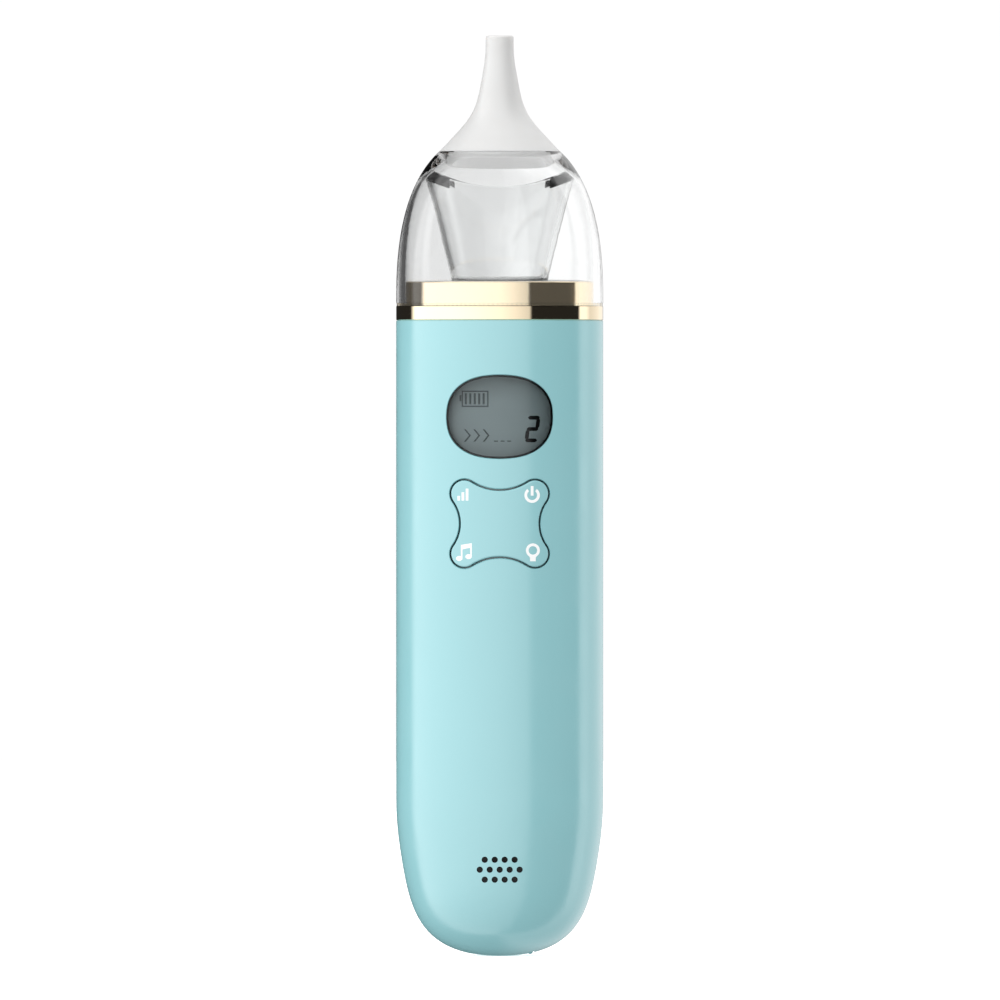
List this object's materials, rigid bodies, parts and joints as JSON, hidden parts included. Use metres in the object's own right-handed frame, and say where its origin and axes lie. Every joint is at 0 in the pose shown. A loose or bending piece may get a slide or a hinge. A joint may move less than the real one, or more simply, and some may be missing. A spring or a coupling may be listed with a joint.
{
  "type": "nasal aspirator",
  "caption": "Cordless nasal aspirator: aqua handle with display, four-way key plate and pump, clear dome over a collection cup, soft nozzle.",
  "frame": {"origin": "lowest point of the rounded handle, on the handle's axis", "axes": "+Z along the handle towards the nozzle; the display and keys face -Y; +X is right when facing the keys"},
  "size_m": [0.04, 0.0402, 0.1778],
  "materials": {
    "aqua_plastic": "glossy moulded",
    "clear_plastic": "clear polished",
    "lens_plastic": "smoked clear",
    "gold_plate": "polished",
    "white_silicone": "satin",
    "clear_silicone": "satin",
    "aqua_silicone": "satin",
    "black_rubber": "satin",
    "lcd_glass": "matt grey",
    "white_plastic": "moulded",
    "black_plastic": "moulded",
    "board_green": "solder mask",
    "steel": "bright",
    "ferrite": "dull",
    "winding": "enamelled copper",
    "foam": "open-cell",
    "cell_wrap": "shrink sleeve",
    "wire_red": "insulation",
    "wire_black": "insulation",
    "warm_lamp": "diffusing"
  },
  "bodies": {
    "handle": {"battery_cell": "cell_wrap", "board_components": "black_plastic", "board_screws": "steel", "chassis": "white_plastic", "collar_ring": "gold_plate", "deck_base": "white_plastic", "deck_cap": "white_plastic", "diaphragms": "black_rubber", "dome_gasket": "clear_silicone", "filter_foam": "foam", "front_housing": "aqua_plastic", "housing_screws": "steel", "keypad_mat": "clear_silicone", "lamp_led": "warm_lamp", "lamp_lens": "clear_plastic", "lcd_backlight": "white_plastic", "lcd_gasket": "black_rubber", "lcd_panel": "lcd_glass", "main_board": "board_green", "motor_bearings": "steel", "motor_can": "steel", "motor_endcap": "black_plastic", "motor_magnets": "ferrite", "motor_terminals": "steel", "neck_ring": "gold_plate", "pump_base": "black_plastic", "pump_dampers": "black_rubber", "pump_head": "black_plastic", "pump_screws": "steel", "rear_housing": "aqua_plastic", "screw_plugs": "aqua_plastic", "small_boards": "board_green", "speaker_frame": "steel", "speaker_mesh": "black_plastic", "suction_tube": "clear_silicone", "tact_switches": "black_plastic", "usb_c_socket": "steel", "valve_flaps": "clear_silicone", "valve_plate": "white_plastic", "window_lens": "lens_plastic", "wires_black": "wire_black", "wires_red": "wire_red"},
    "dome": {"dome_cover": "clear_plastic"},
    "nozzle": {"nozzle_tip": "white_silicone"},
    "cup": {"collection_cup": "clear_plastic", "cup_bumpers": "black_rubber"},
    "key_gimbal": {"key_pivot": "steel"},
    "keys": {"key_plate": "aqua_plastic"},
    "switch_level": {"plunger_level": "white_plastic"},
    "switch_power": {"plunger_power": "white_plastic"},
    "switch_music": {"plunger_music": "white_plastic"},
    "switch_lamp": {"plunger_lamp": "white_plastic"},
    "rotor": {"motor_rotor": "winding", "motor_shaft": "steel", "eccentric": "white_plastic", "wobble_pin": "steel"},
    "wobble": {"wobble_plate": "white_plastic"},
    "port_flap": {"port_cover": "aqua_silicone"},
    "cone": {"speaker_cone": "black_plastic"}
  },
  "joints": [
    {"name": "dome_lift", "type": "slide", "parent": "handle", "child": "dome", "axis": [0, 0, 1], "range_m": [0, 0.07]},
    {"name": "nozzle_pull", "type": "slide", "parent": "dome", "child": "nozzle", "axis": [0, 0, 1], "range_m": [0, 0.02]},
    {"name": "cup_pull", "type": "slide", "parent": "dome", "child": "cup", "axis": [0, 0, -1], "range_m": [0, 0.035]},
    {"name": "key_tilt_vertical", "type": "hinge", "parent": "handle", "child": "key_gimbal", "pos_m": [0, -0.0156, 0.0835], "axis": [1, 0, 0], "range_deg": [-1.5, 1.5], "stiffness_Nm_per_rad": 0.5, "deforming": ["keypad_mat"]},
    {"name": "key_tilt_sideways", "type": "hinge", "parent": "key_gimbal", "child": "keys", "pos_m": [0, -0.0156, 0.0835], "axis": [0, 0, 1], "range_deg": [-1.5, 1.5], "stiffness_Nm_per_rad": 0.5},
    {"name": "switch_level_press", "type": "slide", "parent": "handle", "child": "switch_level", "axis": [0, 1, 0], "range_m": [0, 0.00025], "stiffness_N_per_m": 50},
    {"name": "switch_power_press", "type": "slide", "parent": "handle", "child": "switch_power", "axis": [0, 1, 0], "range_m": [0, 0.00025], "stiffness_N_per_m": 50},
    {"name": "switch_music_press", "type": "slide", "parent": "handle", "child": "switch_music", "axis": [0, 1, 0], "range_m": [0, 0.00025], "stiffness_N_per_m": 50},
    {"name": "switch_lamp_press", "type": "slide", "parent": "handle", "child": "switch_lamp", "axis": [0, 1, 0], "range_m": [0, 0.00025], "stiffness_N_per_m": 50},
    {"name": "motor_spin", "type": "hinge", "parent": "handle", "child": "rotor", "pos_m": [0, 0.0046, 0.075], "axis": [0, 0, 1], "continuous": true},
    {"name": "wobble_roll", "type": "hinge", "parent": "rotor", "child": "wobble", "pos_m": [0, 0.0046, 0.099], "axis": [-0.1045, 0, 0.9945], "continuous": true, "deforming": ["diaphragms"]},
    {"name": "port_flap_hinge", "type": "hinge", "parent": "handle", "child": "port_flap", "pos_m": [0.0059, 0, 0.0009], "axis": [0, -1, 0], "range_deg": [0, 100]},
    {"name": "cone_travel", "type": "slide", "parent": "handle", "child": "cone", "axis": [0, -1, 0], "range_m": [-0.0003, 0.0003], "stiffness_N_per_m": 100}
  ],
  "couplings": [
    {"joint": "cup_pull", "follows": "dome_lift", "ratio": 0.5},
    {"joint": "wobble_roll", "follows": "motor_spin", "ratio": -1}
  ]
}
